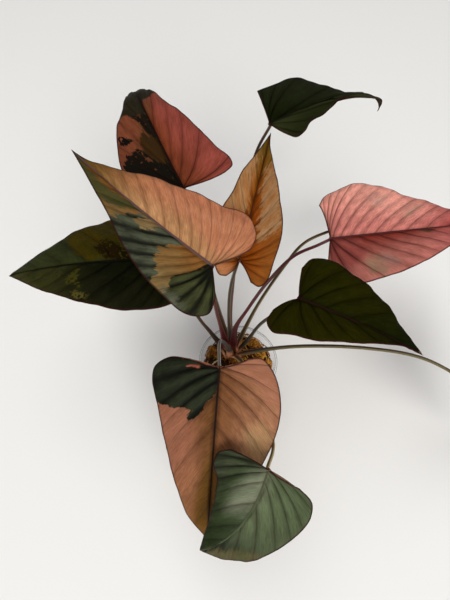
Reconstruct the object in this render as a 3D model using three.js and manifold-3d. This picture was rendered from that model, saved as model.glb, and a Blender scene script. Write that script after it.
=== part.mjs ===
// A pink diamond homalomena in a clear round cup of moss: eleven heart-shaped blades on long petioles.
// Millimetres, +Z up, the origin at the middle of the cup's underside, -Y towards the viewer.
import * as THREE from "three";
import { mergeVertices } from "three/addons/utils/BufferGeometryUtils.js";
import Module from "manifold-3d";

const wasm = await Module();
wasm.setup();
const { Manifold, Mesh } = wasm;

// Gap between touching pieces
const CLEARANCE = 0.3;

// Cup
const CUP = {
  height: 105,
  baseRadius: 30,
  shoulderRadius: 43,
  lipRadius: 45,
  lipHeight: 3,
  wall: 1.2,
  segments: 48,
};

// Moss, with its edge below the lip and its top in a low mound
const MOSS = {
  edgeHeight: 95,
  topHeight: 102,
  tuft: 1.3,
  rings: 7,
  seed: 11,
};

// Crown: the short stem under the moss that all petioles grow from
const CROWN = {
  x: -7,
  y: 8,
  top: 77.7,
  bottom: 46,
  radius: 18.5,
  rootRadius: 9,
  segments: 24,
};

// Petioles stand in two rings on the crown and leave the moss upright
const INNER_RING = 6.5;
const OUTER_RING = 13.5;
const PETIOLE = {
  foot: 78,
  exit: 103,
  baseRadius: 2.3,
  midRadius: 1.75,
  topRadius: 1.5,
  sides: 8,
  steps: 16,
  attachAlong: 2.5,
};

// Blades
const BLADE = {
  thickness: 0.9,
  ribDepth: 1.4,
  rows: 16,
  columns: [0, 0.06, 0.3, 0.55, 0.8, 1],
  pleat: 1.3,
  wave: 1.2,
  waves: 5,
  fanShare: 0.26,
  stationPower: 1.9,
  veinArch: 0.15,
  sinusReach: 0.22,
};

// Each leaf: where its petiole meets the blade and where the tip ends, then the outline of each half.
// Outline points are [along the midrib from the petiole, out from the midrib]; sinus is a point of the
// notch's edge. bow lifts the midrib's middle, arch gives its two inner handles as [along, lift], droop
// lowers the edges, roll raises the right half and sweep bends the midrib sideways.
const LEAVES = [
  {
    name: "back_pink",
    color: 0x8f493b,
    attach: [-56, 119, 255],
    tip: [-114, 262, 233],
    roll: 4,
    arch: [[45, 22], [165, 78]],
    sweep: -4,
    half: 50,
    right: {
      droop: 2,
      sinus: [-1, 25],
      rim: [[2, 46], [7, 56], [16, 57], [29, 48], [53, 37], [78, 22], [104, 12]],
    },
    left: {
      droop: 10,
      sinus: [-2, 15],
      rim: [[-2, 37], [16, 47], [36, 50], [51, 47], [71, 38], [86, 26], [104, 16]],
    },
    ring: OUTER_RING,
    azimuth: 121,
    via: [],
  },
  {
    name: "upper_salmon",
    color: 0xb0784f,
    attach: [-25, 10, 275],
    tip: [-153, 117, 305],
    bow: 11,
    sweep: -8,
    half: 55,
    right: {
      droop: 7,
      sinus: [-4, 10],
      rim: [[-9, 23], [-12, 40], [-5, 58], [12, 65], [33, 53], [63, 40], [90, 27], [118, 11], [145, 0]],
    },
    left: {
      droop: 7,
      sinus: [-10, 9],
      rim: [[-20, 18], [-25, 32], [-14, 44], [15, 48], [52, 44], [90, 30], [144, 10]],
    },
    ring: OUTER_RING,
    azimuth: 150,
    via: [[-24, 16, 193]],
  },
  {
    name: "left_dark",
    color: 0x22280f,
    attach: [-69, 55, 225],
    tip: [-240, 56, 193],
    bow: 15,
    sweep: -6,
    half: 50,
    right: {
      droop: 7,
      sinus: [-11, 11],
      rim: [[-20, 29], [-13, 63], [15, 75], [52, 64], [70, 56], [106, 40], [135, 19], [159, 6]],
    },
    left: {
      droop: 7,
      sinus: [-12, 10],
      rim: [[-22, 25], [-18, 40], [-4, 48], [11, 54], [27, 56], [49, 55], [84, 46], [126, 29]],
    },
    ring: OUTER_RING,
    azimuth: 182,
    via: [[-30, 14, 145], [-43, 20, 170]],
  },
  {
    name: "centre_amber",
    color: 0x9a5a26,
    attach: [-2, 45, 235],
    tip: [33, 184, 270],
    roll: -8,
    bow: 10,
    half: 45,
    right: {
      droop: 5,
      sinus: [-7, 8],
      rim: [[-17, 16], [-19, 25], [-12, 31], [8, 33], [37, 34], [71, 24], [102, 12], [126, 3]],
    },
    left: {
      droop: 5,
      sinus: [-8, 1],
      rim: [[-17, 8], [-17, 15], [-1, 25], [22, 30], [45, 28], [62, 23], [90, 18], [118, 8]],
    },
    ring: INNER_RING,
    azimuth: 105,
    via: [[-11, 28, 166], [-9, 38, 202]],
  },
  {
    name: "top_dark",
    color: 0x1c200c,
    attach: [31, 188, 277],
    tip: [168, 269, 233],
    roll: -16,
    arch: [[45, 12], [158, 52]],
    twist: 95,
    sweep: -7,
    half: 48,
    right: {
      droop: 2,
      sinus: [4, 7],
      rim: [[10, 15], [20, 24], [31, 20], [39, 13], [51, 10], [66, 2], [81, -4], [112, 3], [135, 2]],
    },
    left: {
      droop: 2,
      sinus: [4, 20],
      rim: [[8, 43], [24, 44], [46, 46], [64, 33], [77, 18], [87, 13], [135, 3]],
    },
    ring: OUTER_RING,
    azimuth: 93,
    via: [[-9, 41, 148], [17, 176, 244]],
  },
  {
    name: "right_pink",
    color: 0xb06a5e,
    attach: [93, 86, 217],
    tip: [280, 131, 189],
    roll: -5,
    bow: 15,
    sweep: 9,
    half: 50,
    right: {
      droop: 6,
      sinus: [-4, 9],
      rim: [[-10, 25], [-10, 40], [-1, 50], [18, 55], [47, 53], [73, 49], [122, 32]],
    },
    left: {
      droop: 6,
      sinus: [3, 28],
      rim: [[3, 46], [12, 57], [27, 64], [64, 71], [101, 43], [128, 26], [163, 12]],
    },
    ring: INNER_RING,
    azimuth: 30,
    via: [[-4, 18, 147], [8, 26, 174], [27, 43, 198], [54, 67, 211], [82, 83, 210]],
  },
  {
    name: "right_dark",
    color: 0x23240a,
    attach: [49, -4, 247],
    tip: [167, -38, 201],
    roll: -9,
    bow: 12,
    sweep: 3,
    half: 50,
    right: {
      droop: 6,
      sinus: [-9, 7],
      rim: [[-17, 17], [-19, 29], [-12, 36], [1, 34], [22, 32], [60, 20], [104, 4]],
    },
    left: {
      droop: 6,
      sinus: [-3, 13],
      rim: [[-5, 30], [1, 43], [15, 48], [40, 42], [73, 29], [105, 9]],
    },
    ring: OUTER_RING,
    azimuth: 12,
    via: [[10, 11, 134], [22, 6, 183]],
  },
  {
    name: "front_pink",
    color: 0x99684c,
    attach: [-20, -45, 190],
    tip: [-32, -180, 85],
    bow: 10,
    half: 55,
    right: {
      droop: 6,
      sinus: [-2, 14],
      rim: [[-6, 28], [-6, 48], [4, 62], [17, 63], [28, 60], [57, 51], [98, 39], [145, 21]],
    },
    left: {
      droop: 6,
      sinus: [-4, 14],
      rim: [[-10, 26], [-11, 39], [3, 52], [26, 59], [49, 59], [90, 46], [140, 22]],
    },
    ring: INNER_RING,
    azimuth: -135,
    via: [[-12, 3, 133], [-20, -10, 172]],
  },
  {
    name: "front_green",
    color: 0x4a5a38,
    attach: [22, -132, 175],
    tip: [-38, -191, 125],
    bow: 8,
    sweep: -13,
    half: 45,
    right: {
      droop: 6,
      sinus: [4, 17],
      rim: [[11, 36], [22, 43], [32, 39], [39, 27], [58, 15], [83, 5]],
    },
    left: {
      droop: 6,
      sinus: [-2, 12],
      rim: [[-7, 29], [-6, 43], [3, 50], [20, 51], [43, 46], [62, 39], [81, 23]],
    },
    ring: INNER_RING,
    azimuth: -50,
    via: [[8, -22, 134], [23, -64, 140], [31, -101, 141]],
  },
  {
    name: "side_green",
    color: 0x2c3216,
    attach: [238, -48, 150],
    tip: [286, -74, 46],
    bow: 10,
    half: 46,
    right: {
      droop: 4,
      sinus: [-6, 12],
      rim: [[-16, 24], [-12, 43], [8, 50], [40, 44], [80, 22]],
    },
    left: {
      droop: 4,
      sinus: [-6, 12],
      rim: [[-16, 24], [-12, 43], [8, 50], [40, 44], [80, 22]],
    },
    ring: OUTER_RING,
    azimuth: -26,
    via: [[17, -2, 133], [61, -16, 175], [122, -25, 189], [177, -30, 177]],
  },
  {
    name: "behind_pink",
    color: 0x9c5c50,
    attach: [120, 128, 189],
    tip: [252, 173, 157],
    bow: 11,
    half: 40,
    right: {
      droop: 5,
      sinus: [-10, 12],
      rim: [[-17, 23], [-10, 35], [10, 43], [42, 42], [84, 30]],
    },
    left: {
      droop: 5,
      sinus: [4, 18],
      rim: [[11, 34], [30, 39], [57, 38], [84, 28], [114, 12]],
    },
    ring: OUTER_RING,
    azimuth: 50,
    via: [[7, 27, 128], [23, 44, 162], [50, 76, 185], [74, 105, 187]],
  },
];
const TWIST_POWER = 4;

const PETIOLE_COLOR = 0x4a2c22;
const MOSS_COLOR = 0x795c3a;
const CROWN_COLOR = 0x9a6a50;
const CUP_COLOR = 0xe8ecec;

function material(color, roughness) {
  return new THREE.MeshStandardMaterial({ color, roughness, metalness: 0 });
}

// A closed three.js geometry as a manifold-3d solid, from its positions alone
function toSolid(geometry) {
  const bare = new THREE.BufferGeometry();
  bare.setAttribute("position", geometry.getAttribute("position"));
  bare.setIndex(geometry.index);
  const merged = mergeVertices(bare, 1e-4);
  return new Manifold(
    new Mesh({
      numProp: 3,
      vertProperties: merged.attributes.position.array,
      triVerts: new Uint32Array(merged.index.array),
    }),
  );
}

function toGeometry(solid) {
  const mesh = solid.getMesh();
  const position = new Float32Array(mesh.numVert * 3);
  for (let i = 0; i < mesh.numVert; i++) {
    position.set(mesh.vertProperties.subarray(i * mesh.numProp, i * mesh.numProp + 3), i * 3);
  }
  const geometry = new THREE.BufferGeometry();
  geometry.setAttribute("position", new THREE.BufferAttribute(position, 3));
  geometry.setIndex(new THREE.BufferAttribute(mesh.triVerts, 1));
  return geometry;
}

function part(name, geometry, color, roughness) {
  geometry.computeVertexNormals();
  const mesh = new THREE.Mesh(geometry, material(color, roughness));
  mesh.name = name;
  return mesh;
}

// Blade surface: a flat heart laid along a bent, twisted midrib
class Blade {
  constructor(leaf) {
    this.leaf = leaf;
    this.attach = new THREE.Vector3(...leaf.attach);
    const chord = new THREE.Vector3(...leaf.tip).sub(this.attach);
    this.length = chord.length();
    this.along = chord.normalize();
    const level = new THREE.Vector3().crossVectors(this.along, new THREE.Vector3(0, 0, 1)).normalize();
    this.across = level.applyAxisAngle(this.along, THREE.MathUtils.degToRad(-(leaf.roll ?? 0)));
    this.up = new THREE.Vector3().crossVectors(this.across, this.along);
    const lift = (leaf.bow ?? 0) * (4 / 3);
    const handles = leaf.arch ?? [[this.length / 3, lift], [(this.length * 2) / 3, lift]];
    this.midrib = new THREE.CubicBezierCurve(
      new THREE.Vector2(0, 0),
      new THREE.Vector2(...handles[0]),
      new THREE.Vector2(...handles[1]),
      new THREE.Vector2(this.length, 0),
    );
  }

  // How far the swept midrib lies to the side at a distance along it
  centre(along) {
    const t = THREE.MathUtils.clamp(along / this.length, 0, 1);
    return (this.leaf.sweep ?? 0) * 4 * t * (1 - t);
  }

  // The 3D point at (along, out) of one half, raised by lift from the smooth surface
  point(along, out, sign, lift = 0) {
    const share = along / this.length;
    const t = THREE.MathUtils.clamp(share, 0, 1);
    const handles = [this.midrib.v0, this.midrib.v1, this.midrib.v2, this.midrib.v3];
    const slope = new THREE.Vector2();
    [(1 - t) ** 2, 2 * (1 - t) * t, t * t].forEach((weight, i) => {
      slope.addScaledVector(handles[i + 1], 3 * weight).addScaledVector(handles[i], -3 * weight);
    });
    const spot = this.midrib.getPoint(t).addScaledVector(slope, share - t);
    slope.normalize();
    const rise = this.up.clone().multiplyScalar(slope.x).addScaledVector(this.along, -slope.y);
    const twist = THREE.MathUtils.degToRad(this.leaf.twist ?? 0) * t ** TWIST_POWER;
    const side = this.across.clone().multiplyScalar(Math.cos(twist)).addScaledVector(rise, Math.sin(twist));
    const up = rise.clone().multiplyScalar(Math.cos(twist)).addScaledVector(this.across, -Math.sin(twist));
    const half = sign > 0 ? this.leaf.right : this.leaf.left;
    const offset = sign * out;
    const spread = Math.abs(offset - this.centre(along));
    const drop = half.droop * (spread / this.leaf.half) ** 2;
    return this.attach
      .clone()
      .addScaledVector(this.along, spot.x)
      .addScaledVector(this.up, spot.y)
      .addScaledVector(side, offset)
      .addScaledVector(up, lift - drop);
  }

  // Rows of flat points for one half: each row runs along a vein from the midrib to the edge
  veinGrid(sign) {
    const half = sign > 0 ? this.leaf.right : this.leaf.left;
    const outline = [...half.rim, [this.length, 0]].map(([along, out]) => new THREE.Vector3(along, out, 0));
    const curve = new THREE.CatmullRomCurve3(outline, false, "centripetal");
    const edge = curve.getSpacedPoints(BLADE.rows);
    const notch = new THREE.Vector3(half.sinus[0], half.sinus[1], 0).multiplyScalar(2);
    notch.addScaledVector(edge[0], -0.5);
    return edge.map((rimPoint, row) => {
      const w = row / BLADE.rows;
      const share = Math.max(0, (w - BLADE.fanShare) / (1 - BLADE.fanShare)) ** BLADE.stationPower;
      const start = new THREE.Vector3(share * this.length, sign * this.centre(share * this.length), 0);
      const bend = start.clone().add(rimPoint).multiplyScalar(0.5);
      bend.x -= BLADE.veinArch * start.distanceTo(rimPoint);
      const blend = Math.max(0, 1 - w / BLADE.sinusReach) ** 2;
      const fan = notch.clone().addScaledVector(rimPoint.clone().sub(edge[0]), 0.5);
      bend.lerp(fan, blend);
      const vein = new THREE.QuadraticBezierCurve3(start, bend, rimPoint);
      return BLADE.columns.map((t) => vein.getPoint(t));
    });
  }

  // Veins lie in furrows, with a ridge between each two, and the edge waves
  relief(row, t) {
    const w = row / BLADE.rows;
    const ends = Math.sin(Math.PI * Math.min(1, w * 1.02));
    const pleat = BLADE.pleat * (row % 2 === 0 ? -0.5 : 0.5) * Math.sin(Math.PI * t ** 0.8) * ends;
    const wave = BLADE.wave * Math.sin(2 * Math.PI * BLADE.waves * w) * t * t * ends;
    return pleat + wave;
  }
}

// The blade's solid: an upper and a lower skin of the same triangles, closed along the outline
function bladeGeometry(leaf) {
  const blade = new Blade(leaf);
  const points = [];
  const ribs = [];
  const addPoint = (point, rib) => {
    points.push(point);
    ribs.push(rib);
    return points.length - 1;
  };
  const last = BLADE.columns.length - 1;
  const halves = [1, -1].map((sign) => ({ sign, flat: blade.veinGrid(sign) }));
  const midribIds = halves[0].flat.map(([start], i) => {
    const fanned = i / BLADE.rows <= BLADE.fanShare;
    if (fanned && i > 0) return 0;
    const spot = blade.point(start.x, blade.centre(start.x), 1);
    return addPoint(spot, 1 - start.x / blade.length);
  });
  const tip = midribIds[BLADE.rows];
  const grids = halves.map(({ sign, flat }) =>
    flat.map((row, i) =>
      row.map((spot, c) => {
        if (i === BLADE.rows) return tip;
        if (c === 0) return midribIds[i];
        return addPoint(blade.point(spot.x, spot.y, sign, blade.relief(i, BLADE.columns[c])), 0);
      }),
    ),
  );

  const faces = [];
  const addFace = (a, b, c, flip) => {
    if (a === b || b === c || c === a) return;
    faces.push(flip ? [a, c, b] : [a, b, c]);
  };
  grids.forEach((grid, side) => {
    const flip = side === 1;
    for (let i = 0; i < BLADE.rows; i++) {
      for (let c = 0; c < last; c++) {
        addFace(grid[i][c], grid[i][c + 1], grid[i + 1][c + 1], flip);
        addFace(grid[i][c], grid[i + 1][c + 1], grid[i + 1][c], flip);
      }
    }
  });

  const normals = points.map(() => new THREE.Vector3());
  const ab = new THREE.Vector3();
  const ac = new THREE.Vector3();
  for (const [a, b, c] of faces) {
    ab.subVectors(points[b], points[a]);
    ac.subVectors(points[c], points[a]);
    ab.cross(ac);
    [a, b, c].forEach((i) => normals[i].add(ab));
  }
  normals.forEach((normal) => normal.normalize());

  const rightEdge = [...grids[0][0], ...grids[0].slice(1).map((row) => row[last])];
  const leftEdge = [...grids[1][0], ...grids[1].slice(1).map((row) => row[last])];
  const outline = [...rightEdge, ...leftEdge.slice(1, -1).reverse()];

  const count = points.length;
  const half = BLADE.thickness / 2;
  const upper = points.map((p, i) => p.clone().addScaledVector(normals[i], half));
  const lower = points.map((p, i) => p.clone().addScaledVector(normals[i], -half - BLADE.ribDepth * ribs[i]));
  const position = [...upper, ...lower].flatMap((p) => p.toArray());
  const index = [];
  for (const [a, b, c] of faces) {
    index.push(a, b, c);
    index.push(count + a, count + c, count + b);
  }
  outline.forEach((a, i) => {
    const b = outline[(i + 1) % outline.length];
    index.push(a, count + a, b);
    index.push(b, count + a, count + b);
  });
  const geometry = new THREE.BufferGeometry();
  geometry.setAttribute("position", new THREE.Float32BufferAttribute(position, 3));
  geometry.setIndex(index);
  return geometry;
}

// A tapered stalk along a curve, closed by flat ends
function stalkGeometry(curve, radiusAt, sides, steps) {
  const frames = curve.computeFrenetFrames(steps, false);
  const position = [];
  const index = [];
  for (let i = 0; i <= steps; i++) {
    const centre = curve.getPointAt(i / steps);
    for (let s = 0; s < sides; s++) {
      const angle = (2 * Math.PI * s) / sides;
      const spoke = frames.normals[i]
        .clone()
        .multiplyScalar(Math.cos(angle))
        .addScaledVector(frames.binormals[i], Math.sin(angle));
      position.push(...centre.clone().addScaledVector(spoke, radiusAt(i / steps)).toArray());
    }
  }
  for (let i = 0; i < steps; i++) {
    for (let s = 0; s < sides; s++) {
      const a = i * sides + s;
      const b = i * sides + ((s + 1) % sides);
      index.push(a, b, b + sides);
      index.push(a, b + sides, a + sides);
    }
  }
  for (let s = 1; s < sides - 1; s++) {
    index.push(0, s + 1, s);
    index.push(steps * sides, steps * sides + s, steps * sides + s + 1);
  }
  const geometry = new THREE.BufferGeometry();
  geometry.setAttribute("position", new THREE.Float32BufferAttribute(position, 3));
  geometry.setIndex(index);
  return geometry;
}

// The petiole stops just under the blade's rib, lower where it arrives slanting
function petioleEnd(leaf, previous) {
  const blade = new Blade(leaf);
  const under = blade.point(PETIOLE.attachAlong, 0, 1);
  const up = blade.point(PETIOLE.attachAlong, 0, 1, 1).sub(under);
  const approach = under.clone().sub(previous).normalize();
  const slant = Math.sqrt(1 - approach.dot(up) ** 2);
  const ribUnderside = BLADE.thickness / 2 + BLADE.ribDepth;
  const depth = ribUnderside + 2 * CLEARANCE + PETIOLE.topRadius * slant;
  return blade.point(PETIOLE.attachAlong, 0, 1, -depth);
}

function petioleCurve(leaf) {
  const angle = THREE.MathUtils.degToRad(leaf.azimuth);
  const x = CROWN.x + leaf.ring * Math.cos(angle);
  const y = CROWN.y + leaf.ring * Math.sin(angle);
  const via = leaf.via.map((spot) => new THREE.Vector3(...spot));
  const foot = new THREE.Vector3(x, y, PETIOLE.foot);
  const exit = new THREE.Vector3(x, y, PETIOLE.exit);
  const stem = [foot, exit, ...via];
  return new THREE.CatmullRomCurve3([...stem, petioleEnd(leaf, stem.at(-1))], false, "centripetal");
}

// Thick and sheathed at the foot, slender from a third of the way up
function petioleRadius(t) {
  const slim = THREE.MathUtils.smoothstep(t, 0.08, 0.45);
  const upper = THREE.MathUtils.lerp(PETIOLE.midRadius, PETIOLE.topRadius, t);
  return THREE.MathUtils.lerp(PETIOLE.baseRadius, upper, slim);
}

function petioleGeometry(leaf) {
  return stalkGeometry(petioleCurve(leaf), petioleRadius, PETIOLE.sides, PETIOLE.steps);
}

// Cup: one turned wall with a flat base and a thicker lip
function cupInnerRadius(z) {
  const rise = (z - CUP.wall) / (CUP.height - CUP.lipHeight - CUP.wall);
  return THREE.MathUtils.lerp(CUP.baseRadius, CUP.shoulderRadius, rise) - CUP.wall;
}

function cupGeometry() {
  const lipFoot = CUP.height - CUP.lipHeight;
  const profile = [
    [0, 0],
    [CUP.baseRadius - 1, 0],
    [CUP.baseRadius, 1],
    [CUP.shoulderRadius, lipFoot],
    [CUP.lipRadius - 0.4, lipFoot],
    [CUP.lipRadius, lipFoot + 0.6],
    [CUP.lipRadius, CUP.height - 0.6],
    [CUP.lipRadius - 0.6, CUP.height],
    [cupInnerRadius(CUP.height) + 0.4, CUP.height],
    [cupInnerRadius(CUP.height), CUP.height - 0.4],
    [cupInnerRadius(CUP.wall), CUP.wall],
    [0, CUP.wall],
  ].map(([r, z]) => new THREE.Vector2(r, z));
  return new THREE.LatheGeometry(profile, CUP.segments).rotateX(Math.PI / 2);
}

// A small repeatable random source
function seededRandom(seed) {
  let state = seed;
  return () => {
    state = (state * 1103515245 + 12345) % 2147483648;
    return state / 2147483648;
  };
}

function mossBody() {
  const random = seededRandom(MOSS.seed);
  const edgeRadius = cupInnerRadius(MOSS.edgeHeight) - CLEARANCE;
  const floor = CUP.wall + CLEARANCE;
  const floorRadius = cupInnerRadius(floor) - CLEARANCE;
  const position = [0, 0, floor];
  const ring = (radius, height) => {
    for (let s = 0; s < CUP.segments; s++) {
      const angle = (2 * Math.PI * s) / CUP.segments;
      position.push(radius * Math.cos(angle), radius * Math.sin(angle), height());
    }
  };
  ring(floorRadius, () => floor);
  for (let i = 0; i < MOSS.rings; i++) {
    const share = 1 - i / MOSS.rings;
    const mound = MOSS.edgeHeight + (MOSS.topHeight - MOSS.edgeHeight) * (1 - share * share);
    ring(edgeRadius * share, () => mound + (i === 0 ? 0 : MOSS.tuft * (random() - 0.5) * 2));
  }
  position.push(0, 0, MOSS.topHeight);
  const index = [];
  const n = CUP.segments;
  const top = position.length / 3 - 1;
  for (let s = 0; s < n; s++) {
    const next = (s + 1) % n;
    index.push(0, 1 + next, 1 + s);
    for (let i = 0; i < MOSS.rings; i++) {
      const a = 1 + i * n + s;
      const b = 1 + i * n + next;
      index.push(a, b, b + n);
      index.push(a, b + n, a + n);
    }
    index.push(1 + MOSS.rings * n + s, 1 + MOSS.rings * n + next, top);
  }
  const geometry = new THREE.BufferGeometry();
  geometry.setAttribute("position", new THREE.Float32BufferAttribute(position, 3));
  geometry.setIndex(index);
  return toSolid(geometry);
}

// Crown: a stout short stem that narrows downwards, wider by grow on all sides when it cuts the moss
function crownGeometry(grow = 0) {
  const profile = [
    [0, CROWN.bottom - grow],
    [CROWN.rootRadius + grow, CROWN.bottom - grow],
    [CROWN.radius + grow, CROWN.top - 8],
    [CROWN.radius + grow, CROWN.top + grow],
    [0, CROWN.top + grow],
  ].map(([r, z]) => new THREE.Vector2(r, z));
  return new THREE.LatheGeometry(profile, CROWN.segments)
    .rotateX(Math.PI / 2)
    .translate(CROWN.x, CROWN.y, 0);
}

// The hole that a petiole stands in: its own shape a little wider, from inside the crown's pocket up
function petioleHole(leaf) {
  const curve = petioleCurve(leaf);
  const [foot, ...rest] = curve.points;
  const lowered = new THREE.CatmullRomCurve3(
    [foot.clone().setZ(foot.z - 1), ...rest],
    false,
    "centripetal",
  );
  const facetMargin = 0.7 * CLEARANCE;
  const widened = (t) => petioleRadius(t) + CLEARANCE + facetMargin;
  return toSolid(stalkGeometry(lowered, widened, 12, PETIOLE.steps));
}

function mossGeometry() {
  const cuts = [toSolid(crownGeometry(CLEARANCE)), ...LEAVES.map(petioleHole)];
  return toGeometry(mossBody().subtract(Manifold.union(cuts)));
}

const plant = new THREE.Group();
plant.add(part("cup", cupGeometry(), CUP_COLOR, 0.1));
plant.add(part("moss", mossGeometry(), MOSS_COLOR, 0.95));
plant.add(part("crown", crownGeometry(), CROWN_COLOR, 0.6));
for (const leaf of LEAVES) {
  plant.add(part(`petiole_${leaf.name}`, petioleGeometry(leaf), PETIOLE_COLOR, 0.45));
  plant.add(part(`blade_${leaf.name}`, bladeGeometry(leaf), leaf.color, 0.5));
}

export default plant;
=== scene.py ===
"""The finished look of a pink diamond homalomena in a clear round cup of moss.

Sizes below are in millimetres until a mesh is made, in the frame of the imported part: +Z up, the origin at
the middle of the cup's underside, -Y towards the viewer.
"""
import math

import bpy
import numpy as np
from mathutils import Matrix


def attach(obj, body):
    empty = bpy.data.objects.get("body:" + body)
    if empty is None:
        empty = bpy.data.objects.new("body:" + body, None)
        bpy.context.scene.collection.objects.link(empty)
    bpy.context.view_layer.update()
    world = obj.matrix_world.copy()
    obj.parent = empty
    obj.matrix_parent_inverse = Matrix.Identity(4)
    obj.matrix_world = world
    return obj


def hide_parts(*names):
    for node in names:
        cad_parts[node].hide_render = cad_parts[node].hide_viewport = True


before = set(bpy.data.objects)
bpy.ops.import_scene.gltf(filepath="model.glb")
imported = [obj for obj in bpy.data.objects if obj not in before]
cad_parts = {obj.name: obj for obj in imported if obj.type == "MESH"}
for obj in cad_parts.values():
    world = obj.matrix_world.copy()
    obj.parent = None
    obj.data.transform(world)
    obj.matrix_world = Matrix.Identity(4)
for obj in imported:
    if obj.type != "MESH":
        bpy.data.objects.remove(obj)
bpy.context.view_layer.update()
MM = 0.001
CURVE_SAMPLES = 40
scene = bpy.context.scene

# The photograph's frame
FRAME_HEIGHT = 600
FOCAL_PIXELS = 450.7
CAMERA_PLACE = (-15.0, -208.4, 579.3)
CAMERA_PITCH = 58.7

# What the lamps shine at, in metres
LAMP_TARGET = (0, 0, 0.2)

# Cup. Its lip shows as two lines, each between two radii: painted grey reflections, glossy and opaque on the
# clear plastic.
CUP_HEIGHT = 105
CUP_BASE_RADIUS = 30
CUP_SHOULDER_RADIUS = 43
CUP_LIP_RADIUS = 45
CUP_LIP_HEIGHT = 3
CUP_SHOULDER = CUP_HEIGHT - CUP_LIP_HEIGHT
CUP_WALL = 0.7
CUP_UNDERSIDE = 1.2
CUP_FLOOR = 2.0
CUP_SIDES = 144
LIP_REFLECTION = (43.9, 44.7)
SHOULDER_REFLECTION = (43.1, 42.6)

# Moss: a solid mound, tufts on it, strands against the wall and a pale root. A tone goes from dark (0) to
# light, is given as a mean and a spread, and is 1 for the root alone. The mound has tone 0, the darkest
# colour: painted shade in the gaps between the tufts.
MOSS_SEED = 5
MOSS_EDGE = 95
MOSS_TOP = 102
MOSS_INSET = 1.0
MOSS_GAP = 0.9
MOSS_GAP_ANGLE = math.radians(40)
MOSS_SIDES = 72
TUFTS = 104
TUFT_STRANDS = 9
TUFT_LENGTHS = (4, 10)
TUFT_RADII = (0.6, 1.5)
TUFT_LIFTS = (-2.5, 1.5)
TUFT_TONES = (0.52, 0.2)
STRAND_TONES = (0, 0.24)
WALL_STRANDS = 460
WALL_LENGTHS = (10, 26)
WALL_RADII = (0.5, 1.3)
WALL_TONES = (0.42, 0.22)
STRAND_SIDES = 6
STRAND_FLATNESS = 0.6
PALE_ROOT = ((-32, -7, 99), (-27, -2, 102.5), (-21, 2, 102))
PALE_ROOT_RADIUS = 1.2
TONE_MOST = 0.94
TONE_ROOT = 1.0

# Crown and the two rings of petioles on it
CROWN = (-7, 8)
CROWN_TOP = 77.7
CROWN_BOTTOM = 46
CROWN_RADIUS = 18.5
CROWN_ROOT_RADIUS = 9
CROWN_SIDES = 64
INNER_RING = 6.5
OUTER_RING = 13.5

# Petioles. The sheath narrows from SHEATH_FULL to SHEATH_END, lengths along the petiole that count from the
# cup's underside. The petiole ends just below the notch of its blade.
PETIOLE_SIDES = 24
PETIOLE_STEPS = 90
PETIOLE_FOOT = 78
PETIOLE_EXIT = 103
PETIOLE_BASE = 2.4
PETIOLE_MIDDLE = 1.9
PETIOLE_TOP = 1.6
FOOT_GATHER = 0.4
GRAIN_REACH = 2.5
SHEATH_FULL = 100
SHEATH_END = 175
NOTCH_REACH = 2.5
NOTCH_SINK = 1.2

# Leaf surface, as in the solids
FAN_SHARE = 0.26
STATION_POWER = 1.9
VEIN_ARCH = 0.15
SINUS_REACH = 0.22
TWIST_POWER = 4

# Leaf detail: the grid, the thickness and what stands off the smooth surface. The trough along the midrib,
# the midrib in it and the keels below the midrib and the veins are a height and a width each.
BLADE_ROWS = 132
BLADE_COLUMNS = 40
COLUMN_POWER = 1.2
BLADE_THICKNESS = 0.6
EDGE_THICKNESS = 0.3
PLEAT = 2.6
FULL_SPACING = 7
VEIN_WANDER = 0.22
MIDRIB_NARROWING = 0.55
EDGE_WAVE = 1.2
EDGE_WAVES = 5
RUFFLE = 0.35
RUFFLES = 13
RIPPLE = 0.3
SWELL = 0.7
EDGE_TURN = 0.5
TROUGH = (1.1, 2.6)
MIDRIB = (0.8, 1.0)
KEEL = (1.5, 1.7)
VEIN_KEEL = (0.35, 0.9)

# Colours on a screen: undersides of pink and dark blades, a blade's margin, a petiole's foot and the lips
# of its groove, moss from dark to light with its specks and the root, and the crown
PALE = (150, 104, 84)
DULL = (44, 44, 28)
MARGIN = (46, 13, 13)
TAN_FOOT = (238, 172, 128)
GROOVE_LIPS = (178, 170, 160)
MOSS_COLOURS = ((50, 25, 7), (160, 98, 22), (214, 156, 56))
MOSS_SPECKS = (84, 42, 15)
ROOT_COLOUR = (216, 206, 160)
CROWN_COLOURS = ((150, 96, 74), (92, 58, 40))

# Halves of a blade, and how far from the midrib their colours meet
RIGHT = 1
LEFT = -1
BOTH = 0
SEAM = 0.2


def srgb(red, green, blue):
    """A colour seen on a screen, 0 to 255, as linear light."""
    def linear(value):
        value /= 255
        return value / 12.92 if value <= 0.04045 else ((value + 0.055) / 1.055) ** 2.4

    return (linear(red), linear(green), linear(blue), 1.0)


def half(droop, sinus, rim):
    """One half of a blade: how far its edge hangs, a point of the notch's edge, and its outline."""
    return {"droop": droop, "sinus": sinus, "rim": rim}


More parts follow.
